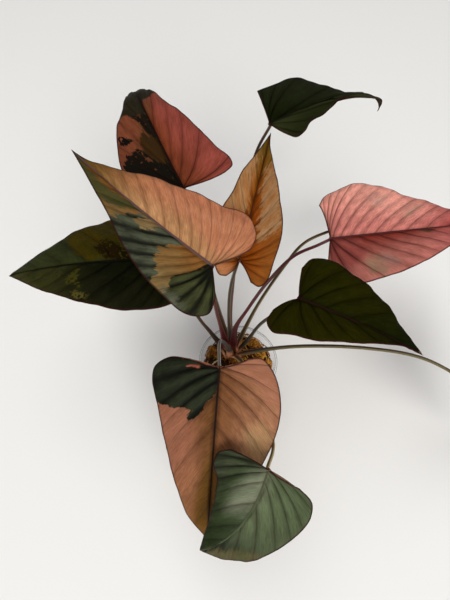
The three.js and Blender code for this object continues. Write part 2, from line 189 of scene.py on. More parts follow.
# Each leaf: where its petiole meets the blade (attach) and where the tip ends. The blade is rolled about
# its length, and its midrib is bent up (bow, or arch with the curve's two handles), swept to one side and
# twisted at the tip. The halves' outlines are (along the midrib, out from it), and width is where the droop
# is full. veins counts the veins of the right and the left half. The petiole rises from its ring and azimuth
# through the via points.
LEAVES = {
    "back_pink": dict(
        attach=(-56, 119, 255), tip=(-114, 262, 233), roll=4, arch=((45, 22), (165, 78)), sweep=-4,
        width=50,
        right=half(2, (-1, 25), ((2, 46), (7, 56), (16, 57), (29, 48), (53, 37), (78, 22), (104, 12))),
        left=half(10, (-2, 15), ((-2, 37), (16, 47), (36, 50), (51, 47), (71, 38), (86, 26), (104, 16))),
        ring=OUTER_RING, azimuth=121, via=(), veins=(7, 6),
    ),
    "upper_salmon": dict(
        attach=(-25, 10, 275), tip=(-153, 117, 305), bow=11, sweep=-8, width=55,
        right=half(7, (-4, 10), ((-9, 23), (-12, 40), (-5, 58), (12, 65), (33, 53), (63, 40), (90, 27),
                                 (118, 11), (145, 0))),
        left=half(7, (-10, 9), ((-20, 18), (-25, 32), (-14, 44), (15, 48), (52, 44), (90, 30), (144, 10))),
        ring=OUTER_RING, azimuth=150, via=((-24, 16, 193),), veins=(17, 15),
    ),
    "left_dark": dict(
        attach=(-69, 55, 225), tip=(-240, 56, 193), bow=15, sweep=-6, width=50,
        right=half(7, (-11, 11), ((-20, 29), (-13, 63), (15, 75), (52, 64), (70, 56), (106, 40), (135, 19),
                                  (159, 6))),
        left=half(7, (-12, 10), ((-22, 25), (-18, 40), (-4, 48), (11, 54), (27, 56), (49, 55), (84, 46),
                                 (126, 29))),
        ring=OUTER_RING, azimuth=182, via=((-30, 14, 145), (-43, 20, 170)), veins=(11, 11),
    ),
    "centre_amber": dict(
        attach=(-2, 45, 235), tip=(33, 184, 270), roll=-8, bow=10, width=45,
        right=half(5, (-7, 8), ((-17, 16), (-19, 25), (-12, 31), (8, 33), (37, 34), (71, 24), (102, 12),
                                (126, 3))),
        left=half(5, (-8, 1), ((-17, 8), (-17, 15), (-1, 25), (22, 30), (45, 28), (62, 23), (90, 18),
                               (118, 8))),
        ring=INNER_RING, azimuth=105, via=((-11, 28, 166), (-9, 38, 202)), veins=(11, 10),
    ),
    "top_dark": dict(
        attach=(31, 188, 277), tip=(168, 269, 233), roll=-16, arch=((45, 12), (158, 52)), twist=95,
        sweep=-7, width=48,
        right=half(2, (4, 7), ((10, 15), (20, 24), (31, 20), (39, 13), (51, 10), (66, 2), (81, -4),
                               (112, 3), (135, 2))),
        left=half(2, (4, 20), ((8, 43), (24, 44), (46, 46), (64, 33), (77, 18), (87, 13), (135, 3))),
        ring=OUTER_RING, azimuth=93, via=((-9, 41, 148), (17, 176, 244)), veins=(7, 7),
    ),
    "right_pink": dict(
        attach=(93, 86, 217), tip=(280, 131, 189), roll=-5, bow=15, sweep=9, width=50,
        right=half(6, (-4, 9), ((-10, 25), (-10, 40), (-1, 50), (18, 55), (47, 53), (73, 49), (122, 32))),
        left=half(6, (3, 28), ((3, 46), (12, 57), (27, 64), (64, 71), (101, 43), (128, 26), (163, 12))),
        ring=INNER_RING, azimuth=30,
        via=((-4, 18, 147), (8, 26, 174), (27, 43, 198), (54, 67, 211), (82, 83, 210)), veins=(10, 15),
    ),
    "right_dark": dict(
        attach=(49, -4, 247), tip=(167, -38, 201), roll=-9, bow=12, sweep=3, width=50,
        right=half(6, (-9, 7), ((-17, 17), (-19, 29), (-12, 36), (1, 34), (22, 32), (60, 20), (104, 4))),
        left=half(6, (-3, 13), ((-5, 30), (1, 43), (15, 48), (40, 42), (73, 29), (105, 9))),
        ring=OUTER_RING, azimuth=12, via=((10, 11, 134), (22, 6, 183)), veins=(7, 7),
    ),
    "front_pink": dict(
        attach=(-20, -45, 190), tip=(-32, -180, 85), bow=10, width=55,
        right=half(6, (-2, 14), ((-6, 28), (-6, 48), (4, 62), (17, 63), (28, 60), (57, 51), (98, 39),
                                 (145, 21))),
        left=half(6, (-4, 14), ((-10, 26), (-11, 39), (3, 52), (26, 59), (49, 59), (90, 46), (140, 22))),
        ring=INNER_RING, azimuth=-135, via=((-12, 3, 133), (-20, -10, 172)), veins=(9, 9),
    ),
    "front_green": dict(
        attach=(22, -132, 175), tip=(-38, -191, 125), bow=8, sweep=-13, width=45,
        right=half(6, (4, 17), ((11, 36), (22, 43), (32, 39), (39, 27), (58, 15), (83, 5))),
        left=half(6, (-2, 12), ((-7, 29), (-6, 43), (3, 50), (20, 51), (43, 46), (62, 39), (81, 23))),
        ring=INNER_RING, azimuth=-50, via=((8, -22, 134), (23, -64, 140), (31, -101, 141)), veins=(8, 8),
    ),
    "side_green": dict(
        attach=(238, -48, 150), tip=(286, -74, 46), bow=10, width=46,
        right=half(4, (-6, 12), ((-16, 24), (-12, 43), (8, 50), (40, 44), (80, 22))),
        left=half(4, (-6, 12), ((-16, 24), (-12, 43), (8, 50), (40, 44), (80, 22))),
        ring=OUTER_RING, azimuth=-26, via=((17, -2, 133), (61, -16, 175), (122, -25, 189), (177, -30, 177)),
        veins=(7, 7),
    ),
    "behind_pink": dict(
        attach=(120, 128, 189), tip=(252, 173, 157), bow=11, width=40,
        right=half(5, (-10, 12), ((-17, 23), (-10, 35), (10, 43), (42, 42), (84, 30))),
        left=half(5, (4, 18), ((11, 34), (30, 39), (57, 38), (84, 28), (114, 12))),
        ring=OUTER_RING, azimuth=50, via=((7, 27, 128), (23, 44, 162), (50, 76, 185), (74, 105, 187)),
        veins=(8, 8),
    ),
}


def patch(on, colour, other, outline, soft=1.0, jag=6.0, mottle=0.0):
    """A field of another colour on one half of a blade or on both: two colours that mix, the first more in
    the pleats' valleys and the second more on their ridges, so that a lighter second colour is painted light
    on the ridges; its outline as (along, right of the midrib), the width of its fading edge (soft), how far
    the edge runs out along the veins (jag) and how much of the blade's own colour shows in spots (mottle)."""
    return {"on": on, "colour": srgb(*colour), "other": srgb(*other), "outline": outline, "soft": soft,
            "jag": jag, "mottle": mottle}


def look(right, left, rib, *patches, **given):
    """What a blade looks like. Each half has three colours: by the midrib, by the margin and at the tip. rib
    is the midrib's colour. Three keys give painted shade: how dark the blade is painted beside the midrib,
    in the grooves along the veins (line) and in the valleys between the pleats, whose ridges the last of
    them paints lighter. gloss is its shine, through the share of light that comes through and under the
    colour of its underside."""
    return {"right": right, "left": left, "rib": rib, "patches": patches, "furrow": 0.3, "line": 0.3,
            "pleat": 1, "gloss": 0.06, "through": 0.26, "under": PALE, **given}


LOOKS = {
    "back_pink": look(
        ((114, 55, 31), (138, 67, 57), (106, 56, 35)),
        ((50, 41, 9), (117, 63, 41), (64, 40, 28)), (24, 6, 4),
        patch(BOTH, (40, 34, 17), (26, 21, 6), ((78, -34), (79, -25), (74, -21), (73, -17), (72, -14),
              (71, -7), (73, -4), (78, -4), (87, -1), (87, 3), (91, 8), (92, 14), (150, 16), (150, -20),
              (105, -30)), jag=3),
        patch(RIGHT, (110, 63, 37), (94, 53, 34), ((87, -1), (88, 5), (80, 4), (69, 0), (67, -3), (73, -5),
              (78, -5)), soft=1.6, jag=2),
        patch(LEFT, (26, 18, 8), (15, 11, 4), ((74, -21), (73, -14), (71, -6), (65, -3), (54, -3),
              (45, -2), (48, -5), (51, -9), (54, -12), (59, -14), (63, -14), (68, -18)), soft=0.7, jag=5,
              mottle=0.1),
        patch(LEFT, (59, 38, 8), (45, 28, 7), ((56, -18), (51, -11), (47, -4), (38, -3), (26, -2),
              (28, -12), (31, -18), (39, -23), (47, -24)), soft=1.4, jag=5),
        patch(LEFT, (24, 16, 6), (13, 10, 4), ((38, -46), (44, -38), (45, -29), (40, -24), (34, -20),
              (29, -11), (25, -3), (-2, 0), (-6, -30), (24, -46)), soft=0.7, jag=8, mottle=0.12),
        patch(LEFT, (12, 8, 4), (6, 5, 3), ((61, -41), (60, -35), (55, -31), (52, -24), (52, -30),
              (51, -36), (55, -42)), soft=0.7, jag=4, mottle=0.2),
        furrow=0.35, line=0.5, through=0.22,
    ),
    "upper_salmon": look(
        ((180, 136, 94), (186, 121, 88), (98, 76, 1)),
        ((125, 84, 38), (117, 96, 58), (101, 60, 1)), (92, 70, 72),
        patch(RIGHT, (201, 139, 103), (171, 110, 76), ((72, 22), (56, 24), (36, 34), (20, 46), (2, 50),
              (-8, 30), (1, 8), (16, 10), (37, 16), (59, 16)), soft=9, jag=8),
        patch(LEFT, (127, 95, 52), (114, 83, 43), ((38, -27), (33, -17), (26, -12), (19, -14), (25, -23),
              (30, -33), (36, -33)), soft=2, jag=5),
        patch(LEFT, (73, 69, 33), (58, 58, 29), ((180, 4), (151, -4), (122, -11), (104, -12), (79, -8),
              (69, -6), (82, -15), (88, -20), (99, -22), (107, -23), (125, -24), (170, -14)), soft=1.4,
              jag=4),
        # Dark green as a shaded copy and a lit copy: painted shade in the valleys, painted light on the
        # ridges.
        patch(LEFT, (27, 29, 19), (80, 85, 65), ((90, -33), (83, -26), (77, -18), (69, -8), (64, -5),
              (51, -4), (28, -3), (33, -11), (38, -18), (40, -23), (35, -33), (29, -35), (27, -43),
              (20, -54), (50, -66), (100, -44)), soft=0.8, jag=10),
        patch(LEFT, (138, 113, 74), (118, 94, 58), ((72, -19), (67, -10), (58, -7), (49, -6), (55, -15),
              (63, -21)), soft=1.2, jag=6),
        # Dark green as a shaded copy and a lit copy: painted shade in the valleys, painted light on the
        # ridges.
        patch(LEFT, (21, 23, 8), (65, 69, 38), ((2, 3), (5, -7), (8, -17), (14, -27), (16, -34), (11, -39),
              (12, -48), (14, -60), (-20, -66), (-40, -36), (-24, -4), (-4, 4)), soft=0.8, jag=6),
        patch(LEFT, (92, 94, 76), (50, 54, 38), ((13, -44), (4, -40), (-6, -44), (-12, -54), (0, -64),
              (15, -58)), soft=3, jag=10),
        furrow=0.12, line=0.14, pleat=0.95, gloss=0.08,
    ),
    "left_dark": look(
        # The tip colours, lightest on the left half, are partly painted sheen.
        ((38, 43, 19), (32, 36, 10), (46, 50, 25)), ((11, 13, 2), (18, 19, 6), (55, 56, 25)), (14, 14, 6),
        patch(RIGHT, (55, 45, 1), (44, 38, 1), ((108, 28), (108, 42), (92, 52), (70, 62), (44, 66),
              (30, 10), (30, -2), (65, -3), (79, -4), (89, 2), (98, 13)), soft=2.4, jag=7, mottle=0.1),
        patch(RIGHT, (29, 19, 1), (19, 13, 1), ((73, 12), (67, 22), (57, 18), (36, 8), (34, -4), (58, -3),
              (67, 3)), soft=2.0, jag=8, mottle=0.4),
        patch(LEFT, (57, 53, 13), (45, 43, 9), ((90, -10), (85, -14), (84, -25), (80, -34), (86, -31),
              (90, -27), (96, -29), (95, -21), (91, -16)), soft=1.2, jag=7, mottle=0.45),
        patch(LEFT, (69, 62, 25), (57, 53, 20), ((91, -35), (81, -38), (72, -42), (75, -46), (82, -45),
              (89, -40)), soft=1.2, jag=7, mottle=0.45),
        patch(LEFT, (43, 44, 15), (36, 38, 14), ((157, -1), (137, -2), (113, -5), (97, -10), (104, -20),
              (120, -24), (102, -33), (115, -32), (132, -22), (143, -12)), soft=2, jag=8, mottle=0.5),
        patch(LEFT, (11, 13, 1), (7, 9, 1), ((54, -32), (44, -25), (32, -27), (37, -37), (49, -43)),
              soft=2, jag=8, mottle=0.4),
        furrow=0.25, line=0.35, pleat=1.3, gloss=0.02, through=0.05, under=DULL,
    ),
    "centre_amber": look(
        # The halves' amber is partly the blade's own colour and partly painted glow of light shining through
        # it.
        ((127, 60, 1), (136, 79, 26), (114, 87, 26)),
        ((139, 74, 5), (191, 133, 89), (93, 74, 1)), (70, 36, 10),
        # This patch and the next are painted whitish sheen on the lit parts.
        patch(LEFT, (184, 142, 96), (155, 104, 56), ((59, -28), (87, -24), (105, -18), (120, -12),
              (107, -6), (89, -9), (69, -8), (54, -4), (43, -6), (47, -16), (45, -24)), soft=3, jag=12),
        patch(RIGHT, (167, 131, 91), (143, 96, 53), ((73, 5), (94, 4), (108, 10), (83, 21), (63, 28),
              (43, 31), (31, 24), (21, 13), (27, 9), (41, 10), (57, 8)), soft=3, jag=12),
        pleat=1.1, through=0.34,
    ),
    "top_dark": look(
        ((40, 44, 22), (26, 30, 10), (56, 58, 38)), ((14, 19, 1), (24, 28, 13), (60, 60, 46)), (16, 18, 8),
        furrow=0.25, pleat=1.3, gloss=0.02, through=0.05, under=DULL,
    ),
    "right_pink": look(
        # Partly painted light: the left half is painted paler and the right half darker than their own
        # pinks, over a real difference.
        ((112, 39, 28), (169, 103, 94), (186, 98, 97)),
        ((195, 121, 113), (236, 168, 153), (153, 18, 38)), (74, 34, 36),
        patch(RIGHT, (118, 54, 47), (136, 67, 60), ((-2, 0), (14, 4), (26, 12), (25, 28), (10, 38),
              (-1, 30), (-4, 14)), soft=5, jag=8),
        patch(RIGHT, (137, 111, 87), (144, 97, 83), ((24, 34), (32, 30), (44, 34), (50, 44), (40, 52),
              (27, 47)), soft=4, jag=10),
        patch(RIGHT, (144, 102, 92), (154, 90, 78), ((40, 30), (53, 28), (60, 42), (48, 48), (42, 39)),
              soft=4, jag=10),
        patch(LEFT, (214, 161, 145), (204, 143, 128), ((54, -38), (68, -48), (80, -40), (68, -26),
              (57, -28)), soft=4, jag=12),
        patch(LEFT, (193, 144, 126), (200, 130, 117), ((84, -18), (102, -28), (116, -22), (100, -10),
              (84, -8)), soft=4, jag=12),
        patch(RIGHT, (71, 46, 24), (86, 51, 30), ((84, 10), (99, 9), (112, 12), (101, 15), (90, 13)),
              soft=0.8, jag=2),
        line=0.45, pleat=1.15, gloss=0.1,
    ),
    "right_dark": look(
        ((25, 25, 1), (28, 28, 1), (1, 1, 1)), ((24, 26, 1), (30, 30, 1), (10, 17, 1)), (30, 16, 12),
        patch(BOTH, (150, 128, 96), (120, 100, 70), ((124, -6), (140, -6), (140, 6), (124, 6)), soft=2,
              jag=1),
        furrow=0.35, pleat=0.8, gloss=0.01, through=0.05, under=DULL,
    ),
    "front_pink": look(
        ((98, 63, 32), (147, 97, 74), (135, 92, 61)),
        ((114, 74, 45), (150, 105, 78), (104, 81, 39)), (26, 12, 8),
        patch(LEFT, (163, 111, 86), (144, 95, 70), ((-1, -4), (-10, -15), (-16, -30), (-10, -48), (8, -58),
              (30, -62), (30, -50), (17, -40), (8, -28), (3, -14)), soft=7, jag=8),
        patch(RIGHT, (145, 96, 72), (129, 80, 59), ((38, 60), (42, 40), (44, 28), (56, 22), (76, 28),
              (104, 36), (92, 50), (63, 60)), soft=7, jag=10),
        patch(LEFT, (167, 134, 94), (158, 117, 82), ((56, -28), (48, -38), (52, -48), (63, -54), (80, -49),
              (88, -39), (72, -28)), soft=8, jag=10),
        patch(BOTH, (93, 65, 20), (101, 67, 24), ((76, 0), (115, -6), (150, -8), (176, 4), (150, 16),
              (123, 14), (96, 8)), soft=7, jag=6),
        # Dark green as a shaded copy and a lit copy: painted shade in the valleys, painted light on the
        # ridges.
        patch(RIGHT, (15, 18, 8), (40, 45, 29), ((-6, 0), (8, -1), (20, 1), (28, 5), (33, 10), (39, 12),
              (48, 19), (51, 25), (46, 27), (40, 22), (40, 29), (39, 32), (40, 42), (39, 50), (35, 70),
              (0, 76), (-16, 50), (-12, 14)), soft=0.5, jag=5),
        patch(RIGHT, (166, 90, 74), (128, 68, 54), ((2, 32), (0, 29), (0, 22), (0, 17), (2, 20),
              (1.4, 25)), soft=0.8, jag=4),
        patch(RIGHT, (186, 110, 92), (176, 106, 88), ((-5, 36), (-13, 32), (-12, 18), (-3, 6), (-1, 12),
              (-4.5, 20), (-6.5, 28)), soft=0.6, jag=1),
        furrow=0.5, line=0.44, pleat=0.95, through=0.2,
    ),
    "front_green": look(
        # The right half's darker colours are partly its own green and partly painted shade.
        ((52, 65, 41), (47, 58, 32), (24, 37, 1)), ((89, 101, 73), (73, 85, 58), (1, 2, 1)), (74, 82, 60),
        # Painted shade on the right half near the base, as a shaded copy for the valleys and a lit copy for
        # the ridges.
        patch(RIGHT, (39, 44, 27), (65, 72, 50), ((48, 34), (30, 50), (12, 48), (2, 34), (-4, 12), (8, 13),
              (22, 22), (34, 20)), soft=7, jag=5),
        # Painted sheen along the midrib near its base.
        patch(BOTH, (123, 127, 105), (102, 110, 86), ((-2, 0), (14, 9), (32, 9), (48, 4), (41, -6),
              (24, -11), (10, -8)), soft=9, jag=4),
        patch(BOTH, (88, 82, 52), (60, 64, 34), ((100, -3), (84, -22), (68, -36), (50, -46), (58, -31),
              (72, -18), (88, -5)), soft=4, jag=10),
        furrow=0, line=0.12, pleat=1.4, gloss=0.12, through=0.16,
    ),
    "side_green": look(
        ((58, 70, 38), (56, 68, 36), (48, 56, 28)),
        ((60, 72, 40), (58, 70, 38), (48, 56, 28)), (44, 46, 26),
        patch(BOTH, (176, 106, 78), (160, 100, 68), ((30, 4), (60, 10), (84, 30), (50, 60), (24, 30)),
              jag=8, mottle=0.1),
        furrow=0.1, pleat=1.2, gloss=0.12, through=0.2,
    ),
    "behind_pink": look(
        ((180, 106, 86), (188, 110, 92), (168, 98, 72)),
        ((184, 110, 90), (190, 114, 96), (168, 98, 72)), (80, 38, 36),
        patch(BOTH, (44, 48, 28), (60, 64, 40), ((12, -2), (44, -8), (66, -30), (40, -60), (6, -40)),
              jag=8, mottle=0.1),
        gloss=0.1,
    ),
}


# Vectors and curves
def unit(vector):
    return vector / np.linalg.norm(vector)


def smooth_step(value, low, high):
    share = np.clip((value - low) / (high - low), 0, 1)
    return share * share * (3 - 2 * share)


def bell(value, height, width):
    """The height where the value is 0, falling off over the width."""
    return height * np.exp(-(value / width) ** 2)


def around(sides):
    return np.linspace(0, 2 * math.pi, sides, endpoint=False)


def catmull_rom(points):
    """A centripetal Catmull-Rom curve through the points, densely sampled."""
    points = np.asarray(points, float)
    points = np.vstack([2 * points[0] - points[1], points, 2 * points[-1] - points[-2]])
    pieces = []
    for i in range(len(points) - 3):
        near = points[i:i + 4]
        knots = np.cumsum([0, *np.linalg.norm(np.diff(near, axis=0), axis=1) ** 0.5])
        t = np.linspace(knots[1], knots[2], CURVE_SAMPLES, endpoint=i == len(points) - 4)[:, None]
        for spans in (((0, 1), (1, 2), (2, 3)), ((0, 2), (1, 3)), ((1, 2),)):
            shares = [(t - knots[a]) / (knots[b] - knots[a]) for a, b in spans]
            near = [p + (q - p) * share for p, q, share in zip(near, near[1:], shares)]
        pieces.append(near[0])
    return np.concatenate(pieces)


def lengths_along(line):
    steps = np.linalg.norm(np.diff(line, axis=0), axis=1)
    return np.concatenate([[0], np.cumsum(steps)])


def evenly(line, count):
    """count points along a sampled line, the same distance apart."""
    arc = lengths_along(line)
    wanted = np.linspace(0, arc[-1], count)
    return np.stack([np.interp(wanted, arc, line[:, k]) for k in range(line.shape[1])], -1)


def headings(line):
    """The direction of a line at each of its points."""
    steps = np.gradient(line, axis=0)
    return steps / np.maximum(np.linalg.norm(steps, axis=1), 1e-9)[:, None]


def distance_to_line(points, line):
    """Each flat point's distance to a chain of segments."""
    best = np.full(len(points), np.inf)
    for a, b in zip(line[:-1], line[1:]):
        ab = b - a
        share = np.clip((points - a) @ ab / max(ab @ ab, 1e-9), 0, 1)
        best = np.minimum(best, np.linalg.norm(points - a - share[:, None] * ab, axis=1))
    return best


def inside_distance(points, outline):
    """How deep each flat point lies inside a closed outline, less than 0 outside it."""
    closed = np.array([*outline, outline[0]], float)
    inside = np.zeros(len(points), bool)
    for a, b in zip(closed[:-1], closed[1:]):
        crosses = (a[1] > points[:, 1]) != (b[1] > points[:, 1])
        if a[1] != b[1]:
            at = a[0] + (points[:, 1] - a[1]) * (b[0] - a[0]) / (b[1] - a[1])
            inside ^= crosses & (points[:, 0] < at)
    distance = distance_to_line(points, closed)
    return np.where(inside, distance, -distance)


# Meshes
def make_piece(name, points, faces, material, slot, **values):
    """A smooth mesh piece from points in millimetres, with named values at its points. It has the name of
    the solid that it replaces."""
    mesh = bpy.data.meshes.new(name)
    mesh.from_pydata((np.asarray(points) * MM).tolist(), [], faces)
    mesh.polygons.foreach_set("use_smooth", [True] * len(mesh.polygons))
    for key, value in values.items():
        value = np.asarray(value, np.float32)
        kind, field = ("FLOAT_VECTOR", "vector") if value.ndim == 2 else ("FLOAT", "value")
        mesh.attributes.new(key, kind, "POINT").data.foreach_set(field, value.ravel())
    mesh.materials.append(material)
    mesh.update()
    piece = bpy.data.objects.new(name, mesh)
    scene.collection.objects.link(piece)
    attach(piece, "root")
    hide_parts(name)


def ring_faces(rings, sides):
    """Quads between closed rings of points, one ring after another."""
    faces = []
    for i in range(rings - 1):
        for s in range(sides):
            after = (s + 1) % sides
            faces.append((i * sides + s, i * sides + after, (i + 1) * sides + after, (i + 1) * sides + s))
    return faces


def tube_faces(rings, sides):
    """Rings of points joined to a tube, with a cap at each end."""
    faces = ring_faces(rings, sides)
    faces.append(tuple(range(sides))[::-1])
    faces.append(tuple((rings - 1) * sides + k for k in range(sides)))
    return faces


def turned(profile, sides):
    """Points and faces of a profile turned about Z; the profile's ends lie on the axis."""
    x, y = np.cos(around(sides)), np.sin(around(sides))
    rings = [np.column_stack([r * x, r * y, np.full(sides, z)]) for r, z in profile[1:-1]]
    points = np.vstack([*rings, [[0, 0, profile[0][1]], [0, 0, profile[-1][1]]]])
    faces = ring_faces(len(rings), sides)
    low = len(rings) * sides
    top_ring = low - sides
    for s in range(sides):
        after = (s + 1) % sides
        faces.append((low, after, s))
        faces.append((low + 1, top_ring + s, top_ring + after))
    return points, faces


def point_normals(points, faces):
    """Normals at the points of a mesh of quads and triangles."""
    normals = np.zeros_like(points)
    corners = np.array([face if len(face) == 4 else (*face, face[2]) for face in faces])
    a, b, c, d = (points[corners[:, k]] for k in range(4))
    facing = np.cross(c - a, d - b)
    facing = np.where(np.linalg.norm(facing, axis=1)[:, None] < 1e-9, np.cross(b - a, c - a), facing)
    for k in range(4):
        np.add.at(normals, corners[:, k], facing)
    return normals / np.maximum(np.linalg.norm(normals, axis=1), 1e-9)[:, None]


# Materials
class Nodes:
    """Builds the nodes of a material or a world from short calls."""

    def __init__(self, owner, output="ShaderNodeOutputMaterial"):
        self.owner = owner
        owner.use_nodes = True
        self.tree = owner.node_tree
        self.tree.nodes.clear()
        self.output = self.add(output)

    def add(self, kind, settings=None, **inputs):
        node = self.tree.nodes.new(kind)
        for key, value in (settings or {}).items():
            setattr(node, key, value)
        for key, value in inputs.items():
            self.put(node.inputs[key.replace("_", " ")], value)
        return node

    def put(self, socket, value):
        if isinstance(value, bpy.types.NodeSocket):
            self.tree.links.new(value, socket)
        else:
            socket.default_value = value

    def value(self, name, vector=False):
        node = self.add("ShaderNodeAttribute", {"attribute_name": name})
        return node.outputs["Vector" if vector else "Fac"]

    def math(self, operation, a, b):
        node = self.add("ShaderNodeMath", {"operation": operation})
        self.put(node.inputs[0], a)
        self.put(node.inputs[1], b)
        return node.outputs[0]

    def times(self, value, by):
        return self.math("MULTIPLY", value, by)

    def plus(self, total, value, by):
        """The total plus the value times by."""
        return self.math("ADD", total, self.times(value, by))

    def ramp(self, value, low, high, start=0.0, end=1.0):
        """A smooth change from start to end as the value goes from low to high."""
        node = self.add("ShaderNodeMapRange", {"interpolation_type": "SMOOTHSTEP"}, Value=value,
                        From_Min=low, From_Max=high, To_Min=start, To_Max=end)
        return node.outputs["Result"]

    def mix(self, share, first, second, blend="MIX"):
        node = self.add("ShaderNodeMix", {"data_type": "RGBA", "blend_type": blend}, Factor=share)
        self.put(node.inputs["A"], first)
        self.put(node.inputs["B"], second)
        return node.outputs["Result"]

    def shade(self, colour, share, low, high):
        """The colour times low where the share is 0 and times high where it is 1."""
        factor = self.mix(share, (*low, 1.0), (*high, 1.0))
        return self.mix(1.0, colour, factor, "MULTIPLY")

    def darken(self, colour, share, by, green, blue, high=1):
        """The colour darker where the share is 0, by the most in blue, and times high where it is 1."""
        low = 1 - by
        return self.shade(colour, share, (low, low * green, low * blue), (high, high, high))

    def noise(self, vector, stretch, detail=3, roughness=0.5):
        """Noise over a vector, finer in a direction where it is stretched more."""
        scaled = self.add("ShaderNodeVectorMath", {"operation": "MULTIPLY"})
        self.put(scaled.inputs[0], vector)
        self.put(scaled.inputs[1], stretch)
        node = self.add("ShaderNodeTexNoise", Vector=scaled.outputs[0], Scale=1.0, Detail=detail,
                        Roughness=roughness)
        return node.outputs["Fac"]

    def bump(self, height, strength, distance):
        node = self.add("ShaderNodeBump", Height=height, Strength=strength, Distance=distance)
        return node.outputs["Normal"]

    def surface(self, colour, roughness, gloss, **inputs):
        return self.add("ShaderNodeBsdfPrincipled", Base_Color=colour, Roughness=roughness,
                        Specular_IOR_Level=gloss, **inputs)

    def blend(self, share, first, second):
        """One shader where the share is 0 and the other where it is 1."""
        node = self.add("ShaderNodeMixShader")
        for socket, value in zip(node.inputs, (share, first.outputs[0], second.outputs[0])):
            self.put(socket, value)
        return node

    def finish(self, shader):
        self.put(self.output.inputs["Surface"], shader.outputs[0])
        return self.owner


def blade_material(name, look):
    """Each half's colours, patches with edges that run along the veins, painted shade in the valleys, in the
    grooves along the veins and beside the midrib, painted light on the pleats' ridges, midrib and margin.
    """
    n = Nodes(bpy.data.materials.new(name))
    flat = n.value("flat", vector=True)
    grain = n.value("grain", vector=True)
    crest = n.value("crest")
    rib = n.value("rib")
    side = n.value("side")
    broad = n.noise(flat, (0.05, 0.05, 0.05))
    streak = n.noise(grain, (0.08, 0.6, 1.0), detail=4, roughness=0.6)
    fleck = n.noise(flat, (0.3, 0.3, 0.3), roughness=0.6)
    fine = n.noise(grain, (0.1, 3.4, 1.0), detail=4, roughness=0.7)

    halves = []
    for half_name in ("left", "right"):
        inner, outer, tip = (srgb(*colour) for colour in look[half_name])
        body = n.mix(n.ramp(n.value("outward"), 0.1, 0.9), inner, outer)
        halves.append(n.mix(n.ramp(n.value("along"), 0.35, 0.95), body, tip))
    colour = n.mix(n.ramp(side, -SEAM, SEAM), *halves)
    uneven = n.plus(n.times(streak, 0.6), broad, 0.4)
    colour = n.shade(colour, n.ramp(uneven, 0.35, 0.65), (0.8, 0.76, 0.7), (1.12, 1.12, 1.1))

    # ridged leans to the pleats' ridges, mixed with noise: a patch's second colour lies there, and where it
    # is the lighter one it is painted light on the ridges.
    ridged = n.ramp(n.plus(n.times(uneven, 0.5), crest, 0.35), 0.4, 0.66)
    edge_run = n.math("SUBTRACT", streak, 0.5)
    fleck_run = n.math("SUBTRACT", fleck, 0.5)
    for i, field in enumerate(look["patches"]):
        depth = n.plus(n.value(f"patch_{i}"), edge_run, field["jag"] * 2)
        depth = n.plus(depth, fleck_run, field["jag"] * 0.6)
        if field["mottle"]:
            spots = 0.2 * field["mottle"]
            depth = n.plus(depth, n.ramp(fleck, 0.64 - spots, 0.68 - spots), -10.0)
        share = n.ramp(depth, -field["soft"], field["soft"])
        if field["on"]:
            share = n.times(share, n.ramp(side, -SEAM * field["on"], SEAM * field["on"]))
        colour = n.mix(share, colour, n.mix(ridged, field["colour"], field["other"]))

    colour = n.shade(colour, n.ramp(fine, 0.3, 0.7), (0.76, 0.73, 0.7), (1.2, 1.2, 1.2))
    # Painted shade in the pleats' valleys and painted light on their ridges.
    ridge_light = 1 + 0.12 * look["pleat"]
    colour = n.darken(colour, n.ramp(crest, 0.0, 1.0), 0.3 * look["pleat"], 0.95, 0.93, ridge_light)
    # Painted shade in the grooves along the veins.
    colour = n.darken(colour, n.ramp(n.value("vein"), 0.2, 0.85), look["line"], 0.92, 0.88)
    # Painted shade in the trough beside the midrib.
    colour = n.darken(colour, n.ramp(rib, 0.6, 6.0), look["furrow"], 0.94, 0.9)
    colour = n.mix(n.ramp(rib, 0.5, 1.7, 0.94, 0.0), colour, srgb(*look["rib"]))
    colour = n.mix(n.ramp(n.value("edge"), 0.5, 1.7, 0.85, 0.0), colour, srgb(*MARGIN))
    colour = n.mix(n.times(n.value("under"), 0.4), colour, srgb(*look["under"]))

    normal = n.bump(n.plus(n.times(fine, 0.75), fleck, 0.25), 0.6, 0.0014)
    surface = n.surface(colour, n.ramp(fleck, 0.3, 0.7, 0.46, 0.6), look["gloss"], Normal=normal)
    glow = n.mix(1.0, colour, (1.25, 1.02, 0.8, 1), "MULTIPLY")
    through = n.add("ShaderNodeBsdfTranslucent", Color=glow, Normal=normal)
    return n.finish(n.blend(look["through"], surface, through))


